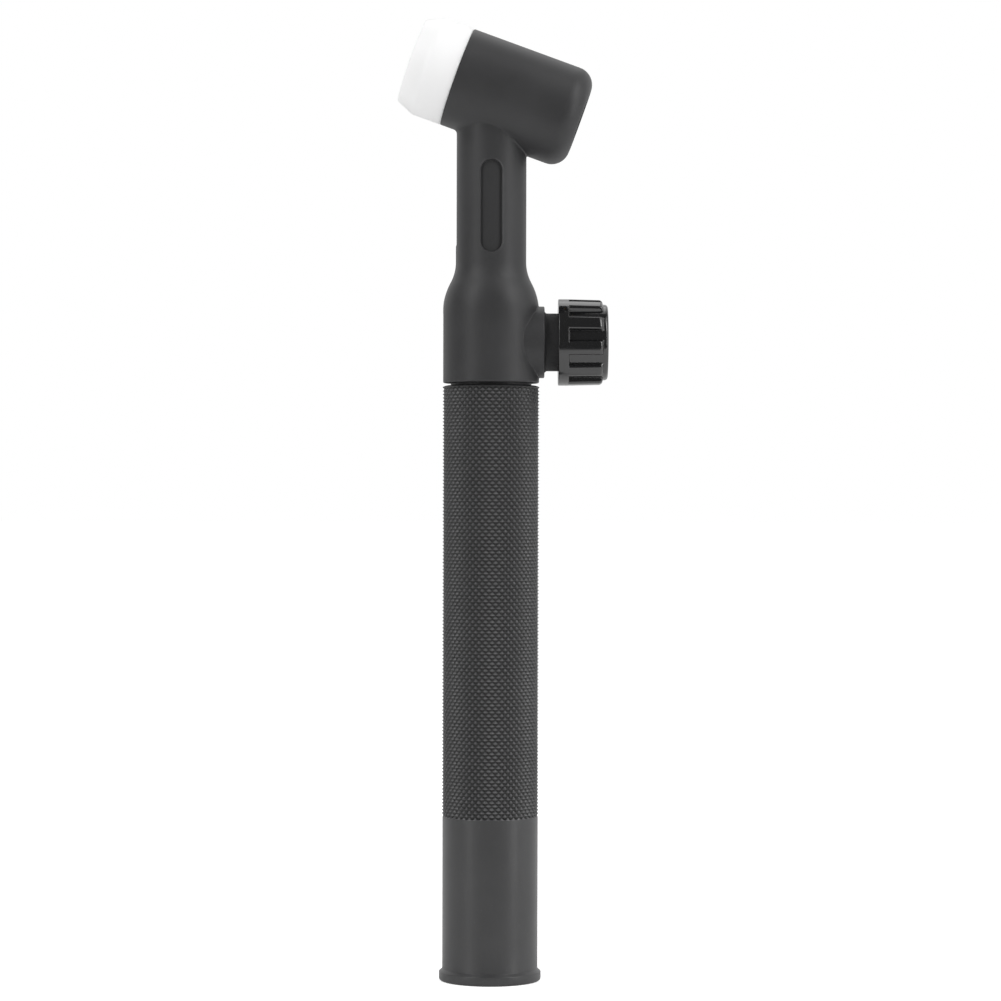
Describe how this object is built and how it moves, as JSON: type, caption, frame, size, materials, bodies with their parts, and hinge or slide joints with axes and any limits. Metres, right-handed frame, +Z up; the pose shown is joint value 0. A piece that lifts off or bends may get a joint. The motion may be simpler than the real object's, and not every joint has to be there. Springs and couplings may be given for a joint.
{
  "type": "tig torch",
  "caption": "Air-cooled welding torch body with a tilted head, moulded neck, gas valve knob and a knurled push-on handle, without nozzle, cap or cable.",
  "frame": {"origin": "centre of the handle sleeve's tail mouth, on the handle's axis", "axes": "+Z up the handle towards the head, +X along the valve knob, nozzle end of the head towards -X and up"},
  "size_m": [0.0463, 0.0224, 0.2113],
  "materials": {
    "cover_rubber": "satin black moulded silicone rubber",
    "handle_nylon": "matt black moulded nylon with a diamond knurl",
    "knob_plastic": "polished black moulded plastic",
    "gasket_ptfe": "white turned PTFE",
    "turned_brass": "turned brass",
    "drawn_copper": "drawn copper tube",
    "silver_solder": "silver brazing alloy",
    "nitrile": "black nitrile rubber"
  },
  "bodies": {
    "handle": {"handle_sleeve": "handle_nylon"},
    "torch": {"torch_cover": "cover_rubber", "head_core": "turned_brass", "neck_tube": "drawn_copper", "valve_block": "turned_brass", "cable_stud": "turned_brass", "head_solder": "silver_solder", "block_solder": "silver_solder", "stud_solder": "silver_solder"},
    "gasket": {"cup_gasket": "gasket_ptfe"},
    "seals": {"inner_o_ring": "nitrile", "outer_o_ring": "nitrile"},
    "valve": {"valve_stem": "turned_brass", "valve_knob": "knob_plastic"}
  },
  "joints": [
    {"name": "handle_pull", "type": "slide", "parent": "handle", "child": "torch", "axis": [0, 0, 1], "range_m": [0, 0.035]},
    {"name": "gasket_pull", "type": "slide", "parent": "torch", "child": "gasket", "axis": [-0.9397, 0, 0.342], "range_m": [0, 0.012]},
    {"name": "valve_lift", "type": "slide", "parent": "torch", "child": "seals", "axis": [1, 0, 0], "range_m": [0, 0.0015]},
    {"name": "valve_turn", "type": "hinge", "parent": "seals", "child": "valve", "pos_m": [0.0147, 0, 0.1402], "axis": [1, 0, 0], "range_deg": [0, 540]}
  ],
  "couplings": [
    {"joint": "valve_lift", "follows": "valve_turn", "m_per_rad": 0.000159}
  ]
}
